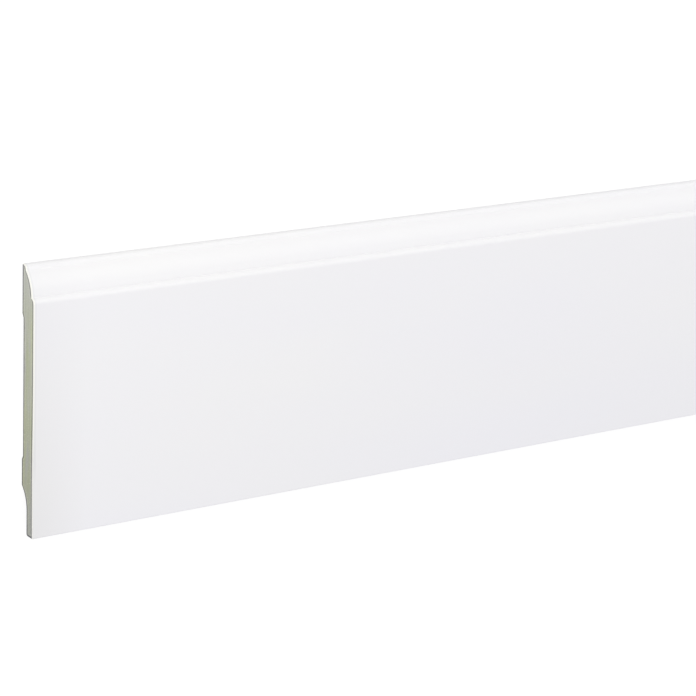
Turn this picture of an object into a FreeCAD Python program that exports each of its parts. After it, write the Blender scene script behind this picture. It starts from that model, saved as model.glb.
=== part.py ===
import FreeCAD, Part
from collections import namedtuple
import os
import re

import Sketcher


# A length of skirting board that lies on its back with the white face up.
# +X runs along the length, +Y from the floor edge to the moulded top edge, and the wall side is at Z = 0.

# Driving dimensions in millimetres, and one angle in degrees, each with what it measures.
SIZES = {
    "board_length": (2400, "length of the stock"),
    "board_height": (120, "floor edge to top edge, foil included"),
    "board_thickness": (10, "wall pads to white face, foil included"),
    "foil_thickness": (0.4, "white foil over the front and the top edge"),
    "foil_trim": (0.4, "strip of the top edge left bare beside the wall"),
    "nose_flat": (0.6, "flat of the top edge beside the wall"),
    "nose_radius": (2.4, "rounded front corner of the top edge"),
    "land_rise": (0.85, "height of the strip between that corner and the ovolo"),
    "land_run": (0.3, "how far that strip leans out"),
    "ovolo_rise": (10, "height of the ovolo, foot to head"),
    "ovolo_foot_tilt": (5, "degrees by which the ovolo leans back at its foot"),
    "quirk_height": (0.85, "upright strip between the shelf and the ovolo"),
    "quirk_width": (0.2, "flat of the shelf between the bead and the ovolo"),
    "bead_rise": (2.6, "height of the rounded edge between the shelf and the face"),
    "bead_run": (1.75, "depth of that rounded edge"),
    "foot_thickness": (5.6, "white face to the back of the foot"),
    "foot_corner_radius": (1, "rounded back corner of the floor edge"),
    "foot_height": (11.4, "floor edge to the start of the cove behind the foot"),
    "cove_rise": (10.5, "height of that cove"),
    "lower_pad_height": (11.6, "lower strip that touches the wall"),
    "upper_pad_height": (21.7, "upper strip that touches the wall"),
    "groove_depth": (1, "depth of the back groove"),
    "groove_wall_run": (1.7, "slope of each groove wall, measured up the board"),
}

# A corner has its place up the board from mid-height and out from the wall, both as formulas.
Corner = namedtuple("Corner", "name up out")
# An arc has its radius as a formula, and turns left (+1) or right (-1) along the path.
Arc = namedtuple("Arc", "radius turn")
LINE = None
LEFT = 1
RIGHT = -1

# How far a path along the front is set in: not at all, or by the foil.
ON_FOIL = "0"
UNDER_FOIL = "foil_thickness"

# The numbers by which a sketch knows its origin and the two ends of an edge.
SKETCH_ORIGIN = (-1, 1)
FIRST_END = 1
LAST_END = 2


def bound(formula):
    """The formula with each alias written as a cell of the sheet."""
    return re.sub(r"[a-z]+(?:_[a-z]+)+", lambda alias: "Sizes." + alias.group(0), formula)


def tangentRadius(run, rise):
    """Radius of the arc that starts along the rise and ends run and rise away."""
    return f"((({run}) ^ 2 + ({rise}) ^ 2) / (2 * ({run})))"


def frontPath(inset, prefix):
    """The moulded front, set in by inset, from the rounded top edge down to the head of the flat face."""
    top = "board_height / 2"
    face = "board_thickness"

    # The strip under the rounded corner leans out. This is its slope as a sine and a cosine.
    landLength = "sqrt(land_rise ^ 2 + land_run ^ 2)"
    sine = f"(land_run / {landLength})"
    cosine = f"(land_rise / {landLength})"
    landHeadUp = f"({top} - nose_radius + nose_radius * {sine})"
    landHeadOut = f"(nose_flat + nose_radius * {cosine})"

    # The ovolo leans back at its foot. Its centre lies square behind that foot.
    ovoloFoot = f"({landHeadUp} - land_rise - ovolo_rise)"
    shelfBack = f"({face} - bead_run - quirk_width)"
    ovoloRun = f"({shelfBack} - {landHeadOut} - land_run)"
    bulge = f"({ovoloRun} * cos(ovolo_foot_tilt) - ovolo_rise * sin(ovolo_foot_tilt))"
    ovoloRadius = f"(({ovoloRun} ^ 2 + ovolo_rise ^ 2) / (2 * {bulge}))"
    centreUp = f"({ovoloFoot} - {ovoloRadius} * sin(ovolo_foot_tilt))"
    centreOut = f"({shelfBack} - {ovoloRadius} * cos(ovolo_foot_tilt))"
    footUp = f"{centreUp} + sqrt(({ovoloRadius} - {inset}) ^ 2 - ({shelfBack} - {inset} - {centreOut}) ^ 2)"

    # The strip runs from its head past the ovolo's centre: how far along it that is, and how far off.
    along = f"(({landHeadUp} - {centreUp}) * {cosine} - ({landHeadOut} - {centreOut}) * {sine})"
    off = f"(({landHeadUp} - {centreUp}) * {sine} + ({landHeadOut} - {centreOut}) * {cosine})"
    strip = f"({along} - sqrt(({ovoloRadius} - {inset}) ^ 2 - ({off} - {inset}) ^ 2))"

    shelf = f"({ovoloFoot} - quirk_height)"
    beadRadius = tangentRadius("bead_run", "bead_rise")
    beadHead = f"{face} - {beadRadius} + sqrt(({beadRadius} - {inset}) ^ 2 - (bead_rise - {inset}) ^ 2)"
    path = [
        Corner("nose_top", f"{top} - {inset}", "nose_flat"),
        Arc(f"nose_radius - {inset}", LEFT),
        Corner("nose_front", f"{landHeadUp} - {inset} * {sine}", f"{landHeadOut} - {inset} * {cosine}"),
        LINE,
        Corner(
            "ovolo_head",
            f"{landHeadUp} - {inset} * {sine} - {strip} * {cosine}",
            f"{landHeadOut} - {inset} * {cosine} + {strip} * {sine}",
        ),
        Arc(f"{ovoloRadius} - {inset}", LEFT),
        Corner("ovolo_foot", footUp, f"{shelfBack} - {inset}"),
        LINE,
        Corner("quirk", f"{shelf} - {inset}", f"{shelfBack} - {inset}"),
        LINE,
        Corner("bead_top", f"{shelf} - {inset}", beadHead),
        Arc(f"{beadRadius} - {inset}", LEFT),
        Corner("bead_front", f"{shelf} - bead_rise", f"{face} - {inset}"),
    ]
    return [step._replace(name=prefix + step.name) if isinstance(step, Corner) else step for step in path]


def corePath():
    """The core's moulded front, its bare floor edge and its wall side, up to the top edge again."""
    top = "board_height / 2"
    floor = "-board_height / 2"
    footBack = "board_thickness - foot_thickness"
    coveFoot = f"{floor} + foot_height"
    coveHead = f"{coveFoot} + cove_rise"
    lowerPadTop = f"{coveHead} + lower_pad_height"
    upperPadFoot = f"{top} - upper_pad_height"
    topEdge = [
        Corner("top_back", f"{top} - foil_thickness", "0"),
        LINE,
    ]
    wallSide = [
        LINE,
        Corner("floor_front", floor, "board_thickness - foil_thickness"),
        LINE,
        Corner("floor_back", floor, f"{footBack} + foot_corner_radius"),
        Arc("foot_corner_radius", LEFT),
        Corner("foot_back", f"{floor} + foot_corner_radius", footBack),
        LINE,
        Corner("cove_foot", coveFoot, footBack),
        Arc(tangentRadius(footBack, "cove_rise"), RIGHT),
        Corner("cove_head", coveHead, "0"),
        LINE,
        Corner("lower_pad_top", lowerPadTop, "0"),
        LINE,
        Corner("groove_foot", f"{lowerPadTop} + groove_wall_run", "groove_depth"),
        LINE,
        Corner("groove_head", f"{upperPadFoot} - groove_wall_run", "groove_depth"),
        LINE,
        Corner("upper_pad_foot", upperPadFoot, "0"),
        LINE,
    ]
    return topEdge + frontPath(UNDER_FOIL, "") + wallSide


def foilPath():
    """The foil's finished side down to its rounded lower edge, then its glued side back to the top."""
    top = "board_height / 2"
    floor = "-board_height / 2"
    finishedEdge = [
        Corner("outer_back", top, "foil_trim"),
        LINE,
    ]
    lowerEdge = [
        LINE,
        Corner("outer_foot", f"{floor} + foil_thickness", "board_thickness"),
        Arc("foil_thickness", LEFT),
        Corner("inner_foot", floor, "board_thickness - foil_thickness"),
        LINE,
    ]
    gluedEdge = [
        LINE,
        Corner("inner_back", f"{top} - foil_thickness", "foil_trim"),
        LINE,
    ]
    finished = finishedEdge + frontPath(ON_FOIL, "outer_")
    glued = turnedBack(frontPath(UNDER_FOIL, "inner_")) + gluedEdge
    return finished + lowerEdge + glued


def turnedBack(path):
    """The same path walked the other way."""
    return [step._replace(turn=-step.turn) if isinstance(step, Arc) else step for step in reversed(path)]


def solved(sketch, formula):
    """The value of a formula, in millimetres."""
    return float(sketch.evalExpression(bound(formula)))


def edgeShape(start, end, radius, turn):
    """The straight edge between two points, or the short arc if it has a radius."""
    if radius is None:
        return Part.LineSegment(start, end)
    chord = end - start
    leftward = FreeCAD.Vector(-chord.y, chord.x, 0).normalize()
    offset = max(radius**2 - (chord.Length / 2) ** 2, 0) ** 0.5
    centre = (start + end) * 0.5 + leftward * offset * turn
    circle = Part.Circle(centre, FreeCAD.Vector(0, 0, 1), radius)
    first, last = (start, end) if turn == LEFT else (end, start)
    return Part.ArcOfCircle(circle, circle.parameter(first), circle.parameter(last))


def constrain(sketch, name, formula, kind, *where):
    """Adds a named constraint whose value is bound to the sheet."""
    index = sketch.addConstraint(Sketcher.Constraint(kind, *where, solved(sketch, formula)))
    sketch.renameConstraint(index, name)
    sketch.setExpression(f"Constraints.{name}", bound(formula))


def drawOutline(sketch, outline):
    """Draws a closed path of corners with lines and arcs between them, all bound to the sheet."""
    corners = outline[0::2]
    edges = outline[1::2]
    points = [FreeCAD.Vector(solved(sketch, corner.up), solved(sketch, corner.out), 0) for corner in corners]
    starts = []
    ends = []
    for edge, start, end in zip(edges, points, points[1:] + points[:1]):
        radius = None if edge is LINE else solved(sketch, edge.radius)
        turn = LEFT if edge is LINE else edge.turn
        sketch.addGeometry(edgeShape(start, end, radius, turn))
        starts.append(FIRST_END if turn == LEFT else LAST_END)
        ends.append(LAST_END if turn == LEFT else FIRST_END)
    for index, (corner, edge) in enumerate(zip(corners, edges)):
        following = (index + 1) % len(edges)
        sketch.addConstraint(Sketcher.Constraint("Coincident", index, ends[index], following, starts[following]))
        constrain(sketch, corner.name + "_up", corner.up, "DistanceX", *SKETCH_ORIGIN, index, starts[index])
        constrain(sketch, corner.name + "_out", corner.out, "DistanceY", *SKETCH_ORIGIN, index, starts[index])
        if edge is not LINE:
            constrain(sketch, corner.name + "_radius", edge.radius, "Radius", index)


def originPlane(body, role):
    """One of the body's own origin planes."""
    return next(feature for feature in body.Origin.OriginFeatures if feature.Role == role)


def padAlongLength(doc, label, outline):
    """A body whose section is the outline, padded to the board's length with its middle at the origin."""
    body = doc.addObject("PartDesign::Body", label)
    body.Label = label
    section = body.newObject("Sketcher::SketchObject", label + "_section")
    section.AttachmentSupport = [(originPlane(body, "YZ_Plane"), "")]
    section.MapMode = "FlatFace"
    drawOutline(section, outline)
    pad = body.newObject("PartDesign::Pad", label + "_length")
    pad.Profile = section
    pad.SideType = "Symmetric"
    pad.setExpression("Length", bound("board_length"))
    section.Visibility = False
    body.Placement = FreeCAD.Placement()
    return body


def makeSheet(doc):
    """The spreadsheet of driving dimensions, one row each."""
    sheet = doc.addObject("Spreadsheet::Sheet", "Sizes")
    for row, (alias, (value, meaning)) in enumerate(SIZES.items(), start=1):
        sheet.set(f"A{row}", meaning)
        sheet.set(f"B{row}", str(value))
        sheet.setAlias(f"B{row}", alias)


def checkDocument(doc, bodies):
    """Stops if any object failed to build or any piece is not one sound solid."""
    for thing in doc.Objects:
        if {"Invalid", "Error"} & set(thing.State):
            raise RuntimeError(f"{thing.Label} did not build: {thing.State}")
    for body in bodies:
        if body.Shape.isNull() or not body.Shape.isValid() or len(body.Shape.Solids) != 1:
            raise RuntimeError(f"{body.Label} is not one sound solid")


doc = FreeCAD.newDocument("skirting_board")
makeSheet(doc)
doc.recompute()

core = padAlongLength(doc, "mdf_core", corePath())
foil = padAlongLength(doc, "white_foil", foilPath())

doc.recompute()
checkDocument(doc, [core, foil])

os.makedirs("parts", exist_ok=True)
for body in (core, foil):
    body.Shape.exportStep(f"parts/{body.Label}.step")
    box = body.Shape.BoundBox
    print(body.Label, "volume", round(body.Shape.Volume), "box", box)
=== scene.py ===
import math

import bpy
from mathutils import Matrix, Vector


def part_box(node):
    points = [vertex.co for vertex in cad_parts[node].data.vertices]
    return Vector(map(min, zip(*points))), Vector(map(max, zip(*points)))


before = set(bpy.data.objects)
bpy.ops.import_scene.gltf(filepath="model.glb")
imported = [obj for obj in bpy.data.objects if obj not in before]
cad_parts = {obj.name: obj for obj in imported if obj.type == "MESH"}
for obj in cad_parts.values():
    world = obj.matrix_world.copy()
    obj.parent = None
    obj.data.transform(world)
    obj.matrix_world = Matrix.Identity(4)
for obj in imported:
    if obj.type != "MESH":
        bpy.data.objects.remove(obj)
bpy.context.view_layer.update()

# A length of foil-faced skirting board, lying on its back on a white studio floor.
# All sizes are in metres. +X runs along the board, +Y goes up to the moulded edge,
# and +Z comes out of the white face.

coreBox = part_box("mdf_core")
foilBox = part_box("white_foil")
halfLength = coreBox[1][0]
print("frame loaded, board", round(2 * halfLength, 3), "m long")


# Node helpers

nodeStep = (280, -330)  # the room that each node gets in the editor


def put(tree, kind, place, **settings):
    # adds a node at a column and row of the editor; a setting that is named like an input,
    # with _ for a space, sets that input, and any other sets the node itself
    node = tree.nodes.new(kind)
    node.location = (place[0] * nodeStep[0], place[1] * nodeStep[1])
    for name, value in settings.items():
        title = name.replace("_", " ")
        if title in node.inputs:
            node.inputs[title].default_value = value
        else:
            setattr(node, name, value)
    return node


def connect(tree, value, socket):
    # links a socket to an input, or sets the input to a plain number or colour
    if isinstance(value, bpy.types.NodeSocket):
        tree.links.new(value, socket)
    elif isinstance(value, (int, float)):
        socket.default_value = value
    elif value is not None:
        socket.default_value = (*value, 1)


def compute(tree, place, operation, first, second=None, clamp=False):
    # one sum; first and second are sockets or plain numbers
    node = put(tree, "ShaderNodeMath", place, operation=operation, use_clamp=clamp)
    connect(tree, first, node.inputs[0])
    connect(tree, second, node.inputs[1])
    return node.outputs[0]


def remap(tree, place, value, old=(0, 1), new=(0, 1)):
    # carries the old range over to the new one, and stops at its ends
    node = put(tree, "ShaderNodeMapRange", place, From_Min=old[0], From_Max=old[1],
               To_Min=new[0], To_Max=new[1])
    connect(tree, value, node.inputs["Value"])
    return node.outputs["Result"]


def ramp(tree, place, value, stops):
    # a colour ramp; stops are (position, grey or colour)
    node = put(tree, "ShaderNodeValToRGB", place)
    keys = node.color_ramp.elements
    while len(keys) < len(stops):
        keys.new(1)
    for key, (position, colour) in zip(keys, stops):
        key.position = position
        key.color = (colour, colour, colour, 1) if isinstance(colour, (int, float)) else (*colour, 1)
    connect(tree, value, node.inputs["Fac"])
    return node.outputs["Color"]


def blend(tree, place, mode, factor, under, over):
    # mixes two colours; each of the three may be a socket or a plain value
    node = put(tree, "ShaderNodeMix", place, data_type="RGBA", blend_type=mode)
    for number, value in ((0, factor), (6, under), (7, over)):
        connect(tree, value, node.inputs[number])
    return node.outputs[2]


def split(tree, place, vector):
    # the X, Y and Z outputs of a vector
    node = put(tree, "ShaderNodeSeparateXYZ", place)
    connect(tree, vector, node.inputs[0])
    return node.outputs


def bump(tree, place, height, distance, under=None):
    # raises the surface by up to distance, on top of the normal given as under
    node = put(tree, "ShaderNodeBump", place, Distance=distance)
    connect(tree, height, node.inputs["Height"])
    connect(tree, under, node.inputs["Normal"])
    return node.outputs["Normal"]


def newMaterial(name, column):
    # a material whose shader stands in the given column of the editor
    material = bpy.data.materials.new(name)
    material.use_nodes = True
    nodes = material.node_tree.nodes
    for step, title in enumerate(("Principled BSDF", "Material Output")):
        nodes[title].location = ((column + step) * nodeStep[0], 0)
    return material, material.node_tree, nodes["Principled BSDF"]


def newGroup(name, inputs, column):
    # an empty node group with number inputs, and with an output called Mask in the given column
    tree = bpy.data.node_groups.new(name, "ShaderNodeTree")
    for title, value in inputs.items():
        socket = tree.interface.new_socket(title, in_out="INPUT", socket_type="NodeSocketFloat")
        socket.default_value = value
    tree.interface.new_socket("Mask", in_out="OUTPUT", socket_type="NodeSocketFloat")
    given = put(tree, "NodeGroupInput", (0, 0)).outputs
    return tree, given, put(tree, "NodeGroupOutput", (column, 0)).inputs["Mask"]


def useGroup(tree, place, group, values):
    node = put(tree, "ShaderNodeGroup", place)
    node.node_tree = group
    for title, value in values.items():
        node.inputs[title].default_value = value
    return node.outputs["Mask"]


# Shared effects

def makeStretchedNoise():
    # noise with its own size along each way of the board: cells per metre along, up and through it
    sizes = {"Along": 100, "Up": 100, "Through": 100}
    tree, given, mask = newGroup("stretched_noise", {**sizes, "Detail": 3, "Low": 0.3, "High": 0.7}, 6)
    coords = put(tree, "ShaderNodeTexCoord", (0, 1))
    place = split(tree, (1, 1), coords.outputs["Object"])
    joined = put(tree, "ShaderNodeCombineXYZ", (3, 0))
    for axis, title in enumerate(sizes):
        scaled = compute(tree, (2, axis), "MULTIPLY", place[axis], given[title])
        tree.links.new(scaled, joined.inputs[axis])
    noise = put(tree, "ShaderNodeTexNoise", (4, 0), Scale=1)
    tree.links.new(joined.outputs[0], noise.inputs["Vector"])
    tree.links.new(given["Detail"], noise.inputs["Detail"])
    spread = put(tree, "ShaderNodeMapRange", (5, 0))
    tree.links.new(noise.outputs["Fac"], spread.inputs["Value"])
    tree.links.new(given["Low"], spread.inputs["From Min"])
    tree.links.new(given["High"], spread.inputs["From Max"])
    tree.links.new(spread.outputs["Result"], mask)
    return tree


def makeNearCut():
    # 1 at a sawn end, falling to 0 at Width along the board
    tree, given, mask = newGroup("near_cut", {"Half Length": halfLength, "Width": 0.001}, 6)
    coords = put(tree, "ShaderNodeTexCoord", (0, 1))
    fromMiddle = compute(tree, (2, 1), "ABSOLUTE", split(tree, (1, 1), coords.outputs["Object"])["X"])
    fromEnd = compute(tree, (3, 0), "SUBTRACT", given["Half Length"], fromMiddle)
    share = compute(tree, (4, 0), "DIVIDE", fromEnd, given["Width"], clamp=True)
    tree.links.new(compute(tree, (5, 0), "SUBTRACT", 1, share), mask)
    return tree


def makeSawnEnd():
    # 1 on the two sawn ends, 0 on every other side; Tilt is how far a side must face along the board
    tree, given, mask = newGroup("sawn_end", {"Tilt": 0.5}, 4)
    coords = put(tree, "ShaderNodeTexCoord", (0, 1))
    along = compute(tree, (2, 1), "ABSOLUTE", split(tree, (1, 1), coords.outputs["Normal"])["X"])
    tree.links.new(compute(tree, (3, 0), "GREATER_THAN", along, given["Tilt"]), mask)
    return tree


stretchedNoise = makeStretchedNoise()
nearCut = makeNearCut()
sawnEnd = makeSawnEnd()
print("shared effects made")


# White foil

foilLook = {
    "white": (0.862, 0.858, 0.867),
    "coolWhite": (0.85, 0.846, 0.878),  # the faintly bluer patches
    "mottle": {"Along": 5, "Up": 16, "Through": 16, "Detail": 2},  # where those patches lie
    "paintedFootShade": (0.925, 0.925, 0.905),  # painted shade: the last stretch before the cut is darker, most at the floor edge
    "paintedHeadShade": (0.98, 0.98, 0.98),
    "endShadeWidth": 0.026,
    "paintedDipShade": (0.95, 0.95, 0.95),  # painted shade: a thin darker line beside the painted highlight along the cut
    "dipWidth": 0.0016,
    "dipShares": ((0, 0), (0.25, 1)),
    "dipHeights": (-0.036, -0.028),  # the painted shade sets in between these heights
    "cutHighlight": (0.98, 0.98, 0.9),  # painted highlight: a bright cream line along the cut, strongest on the foil's cut edge
    "cutWidth": 0.0008,
    "cutShares": ((0.05, 0), (0.35, 0.6)),
    "cutHeights": (-0.03, 0.014),  # the painted highlight gains strength between these heights
    "ior": 1.5,
    "rough": (0.36, 0.46),
    "haze": {"Along": 60, "Up": 180, "Through": 180, "Detail": 5},  # where the foil is rougher
    "peel": {"Along": 900, "Up": 900, "Through": 900, "Detail": 1},  # orange peel
    "peelHeight": 0.000006,
    "lines": {"Along": 5, "Up": 1600, "Through": 1600, "Detail": 2},  # left by the wrapping rollers
    "lineHeight": 0.000004,
}


def makeFoil(look):
    material, tree, shader = newMaterial("white_foil_satin", 7)
    shader.inputs["IOR"].default_value = look["ior"]
    coords = put(tree, "ShaderNodeTexCoord", (0, 1))
    up = split(tree, (1, 1), coords.outputs["Object"])["Y"]
    mottle = useGroup(tree, (0, 0), stretchedNoise, look["mottle"])
    white = blend(tree, (1, 0), "MIX", mottle, look["white"], look["coolWhite"])
    # painted shade on the last stretch before the cut, darker towards the floor edge
    height = remap(tree, (2, 1), up, (foilBox[0][1], foilBox[1][1]))
    paintedEndShade = ramp(tree, (3, 1), height, ((0, look["paintedFootShade"]), (1, look["paintedHeadShade"])))
    nearEndShade = useGroup(tree, (3, 2), nearCut, {"Width": look["endShadeWidth"]})
    endShaded = blend(tree, (4, 0), "MULTIPLY", nearEndShade, white, paintedEndShade)
    # painted shade: a thin darker line along the cut, which ends above the floor edge
    nearDip = useGroup(tree, (0, 3), nearCut, {"Width": look["dipWidth"]})
    dipLine = ramp(tree, (1, 3), nearDip, look["dipShares"])
    dip = compute(tree, (3, 3), "MULTIPLY", dipLine, remap(tree, (2, 3), up, look["dipHeights"]))
    dipShaded = blend(tree, (5, 0), "MULTIPLY", dip, endShaded, look["paintedDipShade"])
    # the painted highlight along the cut thins out towards the floor edge, but the foil's cut edge itself
    # stays fully painted bright
    nearLine = useGroup(tree, (0, 4), nearCut, {"Width": look["cutWidth"]})
    fadedLine = compute(tree, (2, 4), "MULTIPLY", nearLine, remap(tree, (1, 4), up, look["cutHeights"]))
    cutLine = ramp(tree, (3, 4), fadedLine, look["cutShares"])
    highlightShare = compute(tree, (5, 4), "MAXIMUM", cutLine, useGroup(tree, (4, 5), sawnEnd, {}))
    finished = blend(tree, (6, 0), "MIX", highlightShare, dipShaded, look["cutHighlight"])
    tree.links.new(finished, shader.inputs["Base Color"])
    haze = useGroup(tree, (0, 5), stretchedNoise, look["haze"])
    tree.links.new(remap(tree, (1, 5), haze, new=look["rough"]), shader.inputs["Roughness"])
    peel = useGroup(tree, (0, 6), stretchedNoise, look["peel"])
    lines = useGroup(tree, (0, 7), stretchedNoise, look["lines"])
    peeled = bump(tree, (5, 6), peel, look["peelHeight"])
    tree.links.new(bump(tree, (6, 6), lines, look["lineHeight"], peeled), shader.inputs["Normal"])
    return material


# Grey-green MDF

mdfLook = {
    "green": (0.61, 0.633, 0.478),
    "grey": (0.565, 0.573, 0.539),
    "olive": (0.54, 0.568, 0.418),
    "patches": {"Along": 30, "Up": 45, "Through": 240, "Detail": 2, "Low": 0.4, "High": 0.6},  # of grey
    "layers": {"Along": 20, "Up": 25, "Through": 420, "Detail": 2, "Low": 0.4, "High": 0.62},  # of olive
    "streaks": {"Along": 500, "Up": 30, "Through": 1100, "Detail": 2, "Low": 0.4, "High": 0.6},
    "streakShade": (0.9, 0.9, 0.9),
    # from the foot (0) to the head (1): how grey the MDF is, and a painted shade that darkens it towards the
    # foot
    "greyShares": ((0, 0.9), (0.1, 0.7), (0.2, 0), (0.78, 0), (0.92, 0.8)),
    "paintedShades": ((0, 0.7), (0.25, 0.79), (0.4, 0.82), (0.52, 0.93), (1, 0.98)),
    "flecks": {"Along": 2600, "Up": 1500, "Through": 2600, "Detail": 2, "Low": 0, "High": 1},
    "darkFleck": (0.467, 0.48, 0.375),
    "darkShares": ((0.3, 1), (0.4, 0)),
    "paleFleck": (0.677, 0.69, 0.558),
    "paleShares": ((0.6, 0), (0.7, 1)),
    # a dark line and a paler one inside it: the hard skin on the wall side and round the foot, and
    # the adhesive that soaked in behind the foil; stops are the dark one's end, the pale one's start
    # and end, and the plain MDF, as shares of lineDepth
    "skin": {"shade": (0.43, 0.42, 0.5), "pale": 1.12, "stops": (0.14, 0.3, 0.42, 0.54)},
    "glue": {"shade": (0.52, 0.51, 0.55), "pale": 1.09, "stops": (0.15, 0.28, 0.37, 0.49)},
    "lineDepth": 0.004,
    "waver": {"Along": 700, "Up": 350, "Through": 700, "Detail": 3, "Low": 0, "High": 1},
    "waverReach": 0.0003,  # how far the lines waver to either side
    "smear": (0.93, 0.92, 0.925),  # foil that the saw dragged over the board's front edge, on the lower half
    "smearReach": 0.00065,
    "smearShares": ((0, 0.7), (0.22, 1), (0.33, 0.7), (0.42, 0.35), (0.6, 0)),  # of that reach, foot to head
    "smearLean": 0.85,  # how far the smear is rounded over towards the white face
    "rough": 0.85,
    "gloss": 0.33,  # bare fibres shine less than most surfaces
    "fibreHeight": 0.00003,
    "sawMarks": {"Scale": 31.25, "Distortion": 1.5, "Detail": 2},  # at this scale they lie 10 mm apart
    "sawHeight": 0.00002,
}

sectionReading = {
    "endSlice": 0.001,  # the corners are read within this distance of the left end
    "digits": 5,  # heights are rounded to a hundredth of a millimetre
    "headShare": 0.66,  # above this share of the head's height the wall side is flat and the front leans back
    "headDivide": 0.05,  # the share of the thickness that parts the two sides there
    "bodyDivide": 0.75,  # and everywhere else
}


def sectionSide(front, reading):
    # the corners of the core's section on its front or wall side, from foot to head, as (up, out)
    corners = {}
    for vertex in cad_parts["mdf_core"].data.vertices:
        along, up, out = vertex.co
        if along > coreBox[0][0] + reading["endSlice"]:
            continue
        nearHead = up > coreBox[1][1] * reading["headShare"]
        divide = reading["headDivide"] if nearHead else reading["bodyDivide"]
        if (out > divide * coreBox[1][2]) == front:
            level = round(up, reading["digits"])
            corners[level] = max(out, corners.get(level, 0)) if front else out
    return sorted(corners.items())


def sideCurve(tree, place, height, front):
    # how far out the front or the wall side stands at each height of the section
    foot, head, thickness = coreBox[0][1], coreBox[1][1], coreBox[1][2]
    side = sectionSide(front, sectionReading)
    corners = [((up - foot) / (head - foot), out / thickness) for up, out in side]
    node = put(tree, "ShaderNodeFloatCurve", place)
    curve = node.mapping.curves[0]
    while len(curve.points) < len(corners):
        curve.points.new(1, 1)
    for point, corner in zip(curve.points, corners):
        point.location = corner
        point.handle_type = "VECTOR"
    node.mapping.update()
    tree.links.new(height, node.inputs["Value"])
    return compute(tree, (place[0] + 1, place[1]), "MULTIPLY", node.outputs[0], thickness)


def edgeLine(tree, place, distance, depth, line):
    # the shade of a line along an edge of the section, by the distance from that edge
    share = compute(tree, place, "DIVIDE", distance, depth)
    tones = (line["shade"], line["pale"], line["pale"], 1)
    return ramp(tree, (place[0] + 1, place[1]), share, list(zip(line["stops"], tones)))


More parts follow.
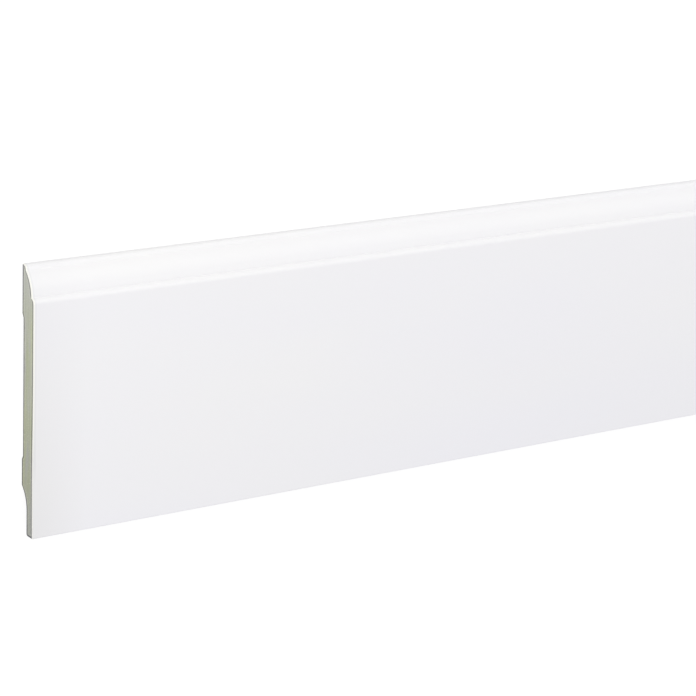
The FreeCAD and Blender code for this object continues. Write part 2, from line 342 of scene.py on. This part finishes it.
def makeMdf(look):
    material, tree, shader = newMaterial("grey_green_mdf", 13)
    shader.inputs["Roughness"].default_value = look["rough"]
    shader.inputs["Specular IOR Level"].default_value = look["gloss"]
    coords = put(tree, "ShaderNodeTexCoord", (0, 0))
    place = split(tree, (1, 0), coords.outputs["Object"])
    height = remap(tree, (2, 1), place["Y"], (coreBox[0][1], coreBox[1][1]))
    onEnd = useGroup(tree, (7, 1), sawnEnd, {})
    # the board is pressed in layers that lie parallel to its faces, so the sawn end shows them as streaks
    patches = useGroup(tree, (2, 0), stretchedNoise, look["patches"])
    layers = useGroup(tree, (3, 1), stretchedNoise, look["layers"])
    streaks = useGroup(tree, (4, 1), stretchedNoise, look["streaks"])
    body = blend(tree, (3, 0), "MIX", patches, look["green"], look["grey"])
    body = blend(tree, (4, 0), "MIX", layers, body, look["olive"])
    body = blend(tree, (5, 0), "MULTIPLY", streaks, body, look["streakShade"])
    # the narrow head and foot are greyer than the middle, and painted shade darkens the foot
    body = blend(tree, (6, 0), "MIX", ramp(tree, (5, 1), height, look["greyShares"]), body, look["grey"])
    body = blend(tree, (7, 0), "MULTIPLY", 1, body, ramp(tree, (6, 1), height, look["paintedShades"]))
    # single fibres, darker and paler than the rest
    flecks = useGroup(tree, (2, 2), stretchedNoise, look["flecks"])
    dark = ramp(tree, (3, 2), flecks, look["darkShares"])
    pale = ramp(tree, (4, 2), flecks, look["paleShares"])
    body = blend(tree, (8, 0), "MIX", dark, body, look["darkFleck"])
    body = blend(tree, (9, 0), "MIX", pale, body, look["paleFleck"])
    # the lines along the edge of the sawn end
    noise = useGroup(tree, (0, 3), stretchedNoise, look["waver"])
    waver = remap(tree, (1, 3), noise, new=(-look["waverReach"], look["waverReach"]))
    wallSide = sideCurve(tree, (2, 4), height, front=False)
    fromWallSide = compute(tree, (4, 4), "SUBTRACT", place["Z"], wallSide)
    fromFoot = compute(tree, (4, 5), "SUBTRACT", place["Y"], coreBox[0][1])
    fromRim = compute(tree, (5, 4), "MINIMUM", fromWallSide, fromFoot)
    fromSkin = compute(tree, (6, 4), "ADD", fromRim, waver)
    skin = edgeLine(tree, (7, 4), fromSkin, look["lineDepth"], look["skin"])
    frontSide = sideCurve(tree, (2, 6), height, front=True)
    fromFoil = compute(tree, (4, 6), "SUBTRACT", frontSide, place["Z"])
    smearShare = ramp(tree, (2, 7), height, look["smearShares"])
    smearEdge = compute(tree, (3, 7), "MULTIPLY", smearShare, look["smearReach"])
    fromSmear = compute(tree, (5, 6), "SUBTRACT", fromFoil, smearEdge)
    fromGlue = compute(tree, (6, 6), "ADD", fromSmear, waver)
    glue = edgeLine(tree, (7, 6), fromGlue, look["lineDepth"], look["glue"])
    inSmear = compute(tree, (6, 7), "LESS_THAN", fromSmear, 0)
    smeared = compute(tree, (7, 7), "MULTIPLY", inSmear, onEnd)
    edged = blend(tree, (10, 0), "MULTIPLY", onEnd, body, skin)
    edged = blend(tree, (11, 0), "MULTIPLY", onEnd, edged, glue)
    finished = blend(tree, (12, 0), "MIX", smeared, edged, look["smear"])
    tree.links.new(finished, shader.inputs["Base Color"])
    # fuzz of cut fibres, the saw's faint marks on the ends, and the rounded smear
    fuzz = bump(tree, (9, 2), flecks, look["fibreHeight"])
    marks = put(tree, "ShaderNodeTexWave", (8, 2), bands_direction="Y", **look["sawMarks"])
    tree.links.new(coords.outputs["Object"], marks.inputs["Vector"])
    endMarks = compute(tree, (9, 3), "MULTIPLY", marks.outputs["Fac"], onEnd)
    sawn = bump(tree, (10, 2), endMarks, look["sawHeight"], fuzz)
    leaning = put(tree, "ShaderNodeVectorMath", (10, 3), operation="ADD")
    tree.links.new(coords.outputs["Normal"], leaning.inputs[0])
    leaning.inputs[1].default_value = (0, 0, look["smearLean"])
    rounded = put(tree, "ShaderNodeMix", (11, 2), data_type="VECTOR")
    for number, value in ((0, smeared), (4, sawn), (5, leaning.outputs[0])):
        tree.links.new(value, rounded.inputs[number])
    even = put(tree, "ShaderNodeVectorMath", (12, 2), operation="NORMALIZE")
    tree.links.new(rounded.outputs[1], even.inputs[0])
    tree.links.new(even.outputs[0], shader.inputs["Normal"])
    return material


def dress(node, material):
    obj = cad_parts[node]
    obj.data.materials.clear()
    obj.data.materials.append(material)


dress("white_foil", makeFoil(foilLook))
dress("mdf_core", makeMdf(mdfLook))
print("foil and MDF finished")


# Studio

studio = {
    "floorSize": 30,
    "floorDrop": 0.00005,  # keeps the floor just clear of the board's wall side
    "floorPaint": (0.5, 0.5, 0.5),
    "floorGlow": 1.3,  # where the floor is seen directly, it is mostly this even white
    "floorGlowShare": 0.7,
    "worldLight": 0.726,
    "worldWhite": 1,  # where the world is seen directly
    "worldTint": (0.94, 0.938, 1),  # the room's light is a touch cooler than the softboxes'
    "lampTint": (1, 1, 0.87),
    # a long softbox, parallel to the board
    "key": {"place": (0, 0.5, 0.53), "aim": (0, 0, 0), "size": (5, 0.6), "power": 7.3},
    # one softbox beyond each end, aimed at that end
    "leftEnd": {"place": (-2.65, 0.35, 0.85), "aim": (-halfLength, 0, 0), "size": (1.2, 1.2), "power": 7.9},
    "rightEnd": {"place": (2.65, 0.35, 0.85), "aim": (halfLength, 0, 0), "size": (1.2, 1.2), "power": 7.9},
}


def seenDirectly(tree, column):
    # 1 for what is seen by the camera, in a gloss or through glass, and 0 for light on the board
    rays = put(tree, "ShaderNodeLightPath", (column, 0)).outputs
    seen = compute(tree, (column + 1, 0), "MAXIMUM", rays["Is Camera Ray"], rays["Is Glossy Ray"])
    return compute(tree, (column + 2, 0), "MAXIMUM", seen, rays["Is Transmission Ray"])


def makeFloor(look):
    half = look["floorSize"] / 2
    level = coreBox[0][2] - look["floorDrop"]
    corners = [(-half, -half, level), (half, -half, level), (half, half, level), (-half, half, level)]
    mesh = bpy.data.meshes.new("floor")
    mesh.from_pydata(corners, [], [(0, 1, 2, 3)])
    floor = bpy.data.objects.new("floor", mesh)
    bpy.context.scene.collection.objects.link(floor)
    material = bpy.data.materials.new("studio_floor")
    material.use_nodes = True
    tree = material.node_tree
    tree.nodes.clear()
    share = compute(tree, (3, 0), "MULTIPLY", seenDirectly(tree, 0), look["floorGlowShare"])
    paint = put(tree, "ShaderNodeBsdfDiffuse", (3, 1), Color=(*look["floorPaint"], 1))
    glow = put(tree, "ShaderNodeEmission", (3, 2), Strength=look["floorGlow"])
    mix = put(tree, "ShaderNodeMixShader", (4, 0))
    for number, value in enumerate((share, paint.outputs[0], glow.outputs[0])):
        tree.links.new(value, mix.inputs[number])
    out = put(tree, "ShaderNodeOutputMaterial", (5, 0))
    tree.links.new(mix.outputs[0], out.inputs["Surface"])
    mesh.materials.append(material)


def makeWorld(look):
    world = bpy.data.worlds.new("studio_world")
    bpy.context.scene.world = world
    world.use_nodes = True
    tree = world.node_tree
    tree.nodes.clear()
    seen = seenDirectly(tree, 0)
    strength = remap(tree, (3, 0), seen, new=(look["worldLight"], look["worldWhite"]))
    tint = blend(tree, (3, 1), "MIX", seen, look["worldTint"], (1, 1, 1))
    back = put(tree, "ShaderNodeBackground", (4, 0))
    tree.links.new(tint, back.inputs["Color"])
    tree.links.new(strength, back.inputs["Strength"])
    out = put(tree, "ShaderNodeOutputWorld", (5, 0))
    tree.links.new(back.outputs[0], out.inputs["Surface"])


def makeSoftbox(name, tint, look):
    data = bpy.data.lights.new(name, "AREA")
    data.shape = "RECTANGLE"
    data.size, data.size_y = look["size"]
    data.energy = look["power"]
    data.color = tint
    softbox = bpy.data.objects.new(name, data)
    softbox.location = look["place"]
    away = Vector(look["place"]) - Vector(look["aim"])
    softbox.rotation_euler = away.to_track_quat("Z", "Y").to_euler()
    bpy.context.scene.collection.objects.link(softbox)


makeFloor(studio)
makeWorld(studio)
makeSoftbox("key", studio["lampTint"], studio["key"])
makeSoftbox("left_end", studio["lampTint"], studio["leftEnd"])
makeSoftbox("right_end", studio["lampTint"], studio["rightEnd"])
print("studio set up")


# Camera, close to the left end, with the rest of the length running out of the picture

view = {
    "eye": (-1.72276, 0.3454, 0.97987),
    "aim": (-1.03139, 0.00052, 0),
    "roll": -2.20685,  # degrees away from the board's own upright
    "lens": 140.276,  # mm, as is the sensor
    "sensor": 36,
}


def makeCamera(look):
    data = bpy.data.cameras.new("camera")
    data.lens = look["lens"]
    data.sensor_width = look["sensor"]
    eye = Vector(look["eye"])
    forward = (Vector(look["aim"]) - eye).normalized()
    boardUp = Vector((0, 1, 0))
    upright = (boardUp - forward * boardUp.dot(forward)).normalized()
    up = Matrix.Rotation(math.radians(look["roll"]), 3, forward) @ upright
    right = forward.cross(up)
    turn = Matrix((right, up, -forward)).transposed()
    camera = bpy.data.objects.new("camera", data)
    camera.matrix_world = Matrix.Translation(eye) @ turn.to_4x4()
    bpy.context.scene.collection.objects.link(camera)
    bpy.context.scene.camera = camera


makeCamera(view)
bpy.context.scene.view_settings.view_transform = "Standard"
print("camera placed")
